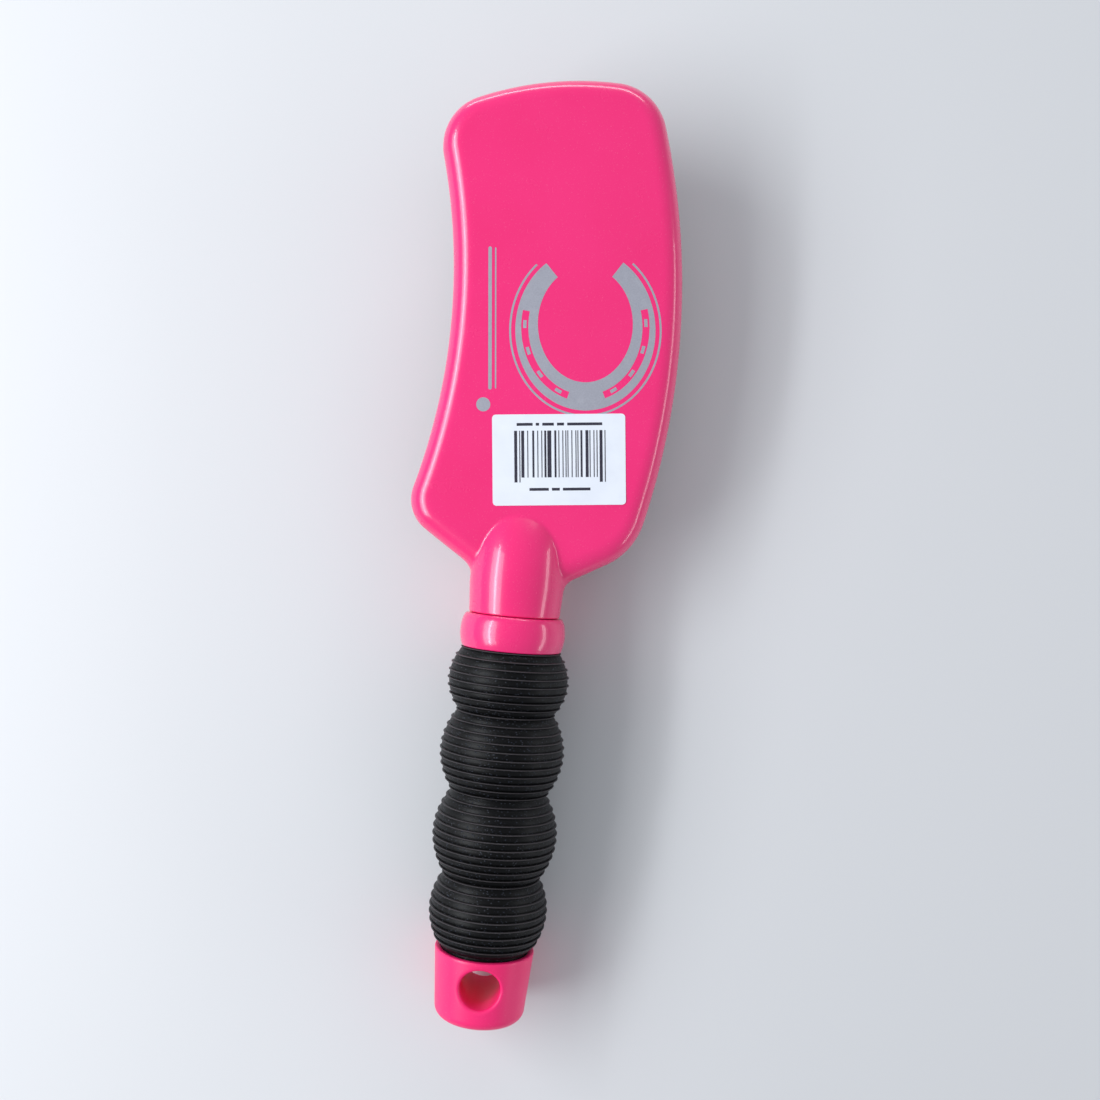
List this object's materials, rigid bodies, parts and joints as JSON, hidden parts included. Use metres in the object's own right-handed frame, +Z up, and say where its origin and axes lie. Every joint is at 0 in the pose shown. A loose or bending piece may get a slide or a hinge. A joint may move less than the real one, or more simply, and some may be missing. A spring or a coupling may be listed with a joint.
{
  "type": "horse mane and tail brush",
  "caption": "Mane and tail brush with a curved paddle head, air-cushioned ball-tipped pins, ribbed finger grip and a cap with a hanging hole.",
  "frame": {"origin": "middle of the brush's footprint, on the surface that it lies on, pins down", "axes": "+Y along the handle towards the head, +X to the right seen from the back, +Z up out of the brush's back"},
  "size_m": [0.0696, 0.2576, 0.0368],
  "materials": {
    "gloss_pink": "moulded plastic, high gloss",
    "satin_pink": "moulded plastic, satin",
    "cushion_rubber": "soft black rubber",
    "grip_rubber": "ribbed black rubber with a fine grain",
    "pin_nylon": "smooth black nylon",
    "label_paper": "coated label paper",
    "bar_ink": "black label print",
    "silver_ink": "silver pad print on the head's back"
  },
  "bodies": {
    "handle": {"brush_body": "gloss_pink", "cushion_pad": "cushion_rubber", "collar_ring": "gloss_pink", "grip_sleeve": "grip_rubber", "end_cap": "satin_pink", "price_label": "label_paper"},
    "pin_row_01": {"pin_row_01": "pin_nylon"},
    "pin_row_02": {"pin_row_02": "pin_nylon"},
    "pin_row_03": {"pin_row_03": "pin_nylon"},
    "pin_row_04": {"pin_row_04": "pin_nylon"},
    "pin_row_05": {"pin_row_05": "pin_nylon"},
    "pin_row_06": {"pin_row_06": "pin_nylon"},
    "pin_row_07": {"pin_row_07": "pin_nylon"},
    "pin_row_08": {"pin_row_08": "pin_nylon"},
    "pin_row_09": {"pin_row_09": "pin_nylon"},
    "pin_row_10": {"pin_row_10": "pin_nylon"},
    "pin_row_11": {"pin_row_11": "pin_nylon"},
    "pin_row_12": {"pin_row_12": "pin_nylon"},
    "pin_row_13": {"pin_row_13": "pin_nylon"},
    "pin_row_14": {"pin_row_14": "pin_nylon"}
  },
  "joints": [
    {"name": "pin_row_01_press", "type": "slide", "parent": "handle", "child": "pin_row_01", "axis": [0, -0.0625, 0.998], "range_m": [0, 0.003], "stiffness_N_per_m": 2500},
    {"name": "pin_row_02_press", "type": "slide", "parent": "handle", "child": "pin_row_02", "axis": [0, -0.0625, 0.998], "range_m": [0, 0.003], "stiffness_N_per_m": 2500},
    {"name": "pin_row_03_press", "type": "slide", "parent": "handle", "child": "pin_row_03", "axis": [0, -0.0625, 0.998], "range_m": [0, 0.003], "stiffness_N_per_m": 2500},
    {"name": "pin_row_04_press", "type": "slide", "parent": "handle", "child": "pin_row_04", "axis": [0, -0.0625, 0.998], "range_m": [0, 0.003], "stiffness_N_per_m": 2500},
    {"name": "pin_row_05_press", "type": "slide", "parent": "handle", "child": "pin_row_05", "axis": [0, -0.0625, 0.998], "range_m": [0, 0.003], "stiffness_N_per_m": 2500},
    {"name": "pin_row_06_press", "type": "slide", "parent": "handle", "child": "pin_row_06", "axis": [0, -0.0625, 0.998], "range_m": [0, 0.003], "stiffness_N_per_m": 2500},
    {"name": "pin_row_07_press", "type": "slide", "parent": "handle", "child": "pin_row_07", "axis": [0, -0.0625, 0.998], "range_m": [0, 0.003], "stiffness_N_per_m": 2500},
    {"name": "pin_row_08_press", "type": "slide", "parent": "handle", "child": "pin_row_08", "axis": [0, -0.0625, 0.998], "range_m": [0, 0.003], "stiffness_N_per_m": 2500},
    {"name": "pin_row_09_press", "type": "slide", "parent": "handle", "child": "pin_row_09", "axis": [0, -0.0625, 0.998], "range_m": [0, 0.003], "stiffness_N_per_m": 2500},
    {"name": "pin_row_10_press", "type": "slide", "parent": "handle", "child": "pin_row_10", "axis": [0, -0.0625, 0.998], "range_m": [0, 0.003], "stiffness_N_per_m": 2500},
    {"name": "pin_row_11_press", "type": "slide", "parent": "handle", "child": "pin_row_11", "axis": [0, -0.0625, 0.998], "range_m": [0, 0.003], "stiffness_N_per_m": 2500},
    {"name": "pin_row_12_press", "type": "slide", "parent": "handle", "child": "pin_row_12", "axis": [0, -0.0625, 0.998], "range_m": [0, 0.003], "stiffness_N_per_m": 2500},
    {"name": "pin_row_13_press", "type": "slide", "parent": "handle", "child": "pin_row_13", "axis": [0, -0.0625, 0.998], "range_m": [0, 0.003], "stiffness_N_per_m": 2500},
    {"name": "pin_row_14_press", "type": "slide", "parent": "handle", "child": "pin_row_14", "axis": [0, -0.0625, 0.998], "range_m": [0, 0.003], "stiffness_N_per_m": 2500}
  ]
}
